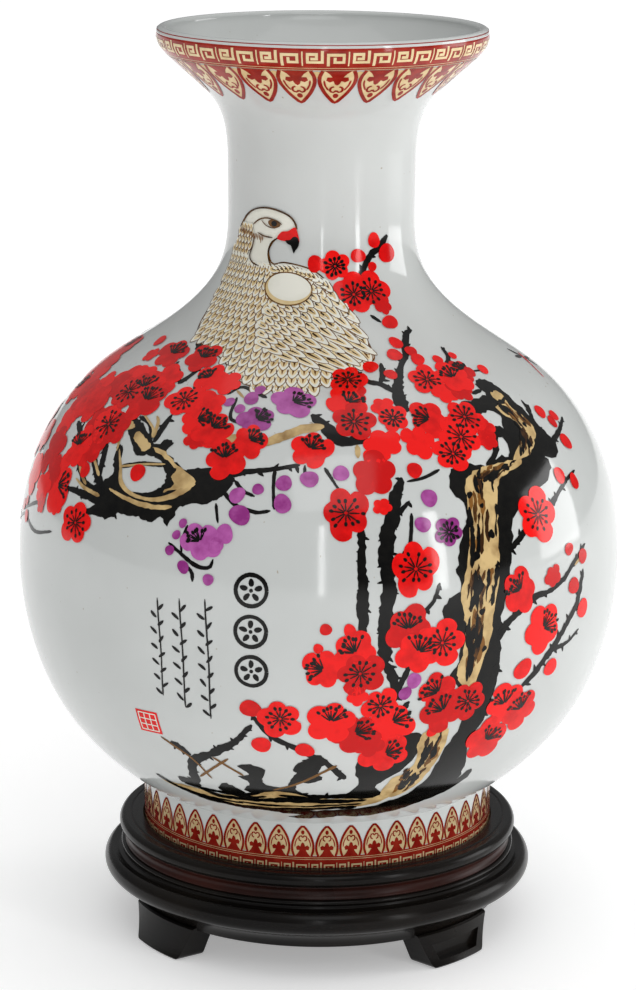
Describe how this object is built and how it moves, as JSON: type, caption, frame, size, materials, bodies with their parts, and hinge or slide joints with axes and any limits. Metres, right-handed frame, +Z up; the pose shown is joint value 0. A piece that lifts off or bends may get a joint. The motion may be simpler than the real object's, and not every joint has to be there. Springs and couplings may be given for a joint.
{
  "type": "porcelain vase",
  "caption": "Globe-bodied porcelain vase with a flared neck, standing loose in the recess of a low turned wooden stand with feet.",
  "frame": {"origin": "on the vase's axis, at floor level under the stand's feet", "axes": "+Z up along the vase's axis, -Y towards the front, +X to the viewer's right"},
  "size_m": [0.262, 0.262, 0.3972],
  "materials": {
    "porcelain": "gloss",
    "dark_lacquer": "satin lacquer",
    "reddish_lacquer": "satin lacquer",
    "panel_wood": "matt",
    "dowel_wood": "raw"
  },
  "bodies": {
    "stand": {"stand_top_ring": "dark_lacquer", "stand_waist_ring": "reddish_lacquer", "stand_base_ring": "dark_lacquer", "stand_floor_panel": "panel_wood", "front_left_foot": "dark_lacquer", "front_right_foot": "dark_lacquer", "back_right_foot": "dark_lacquer", "back_left_foot": "dark_lacquer", "foot_dowels": "dowel_wood"},
    "vase": {"vase": "porcelain"}
  },
  "joints": [
    {"name": "vase_lift", "type": "slide", "parent": "stand", "child": "vase", "axis": [0, 0, 1], "range_m": [0, 0.06]}
  ]
}
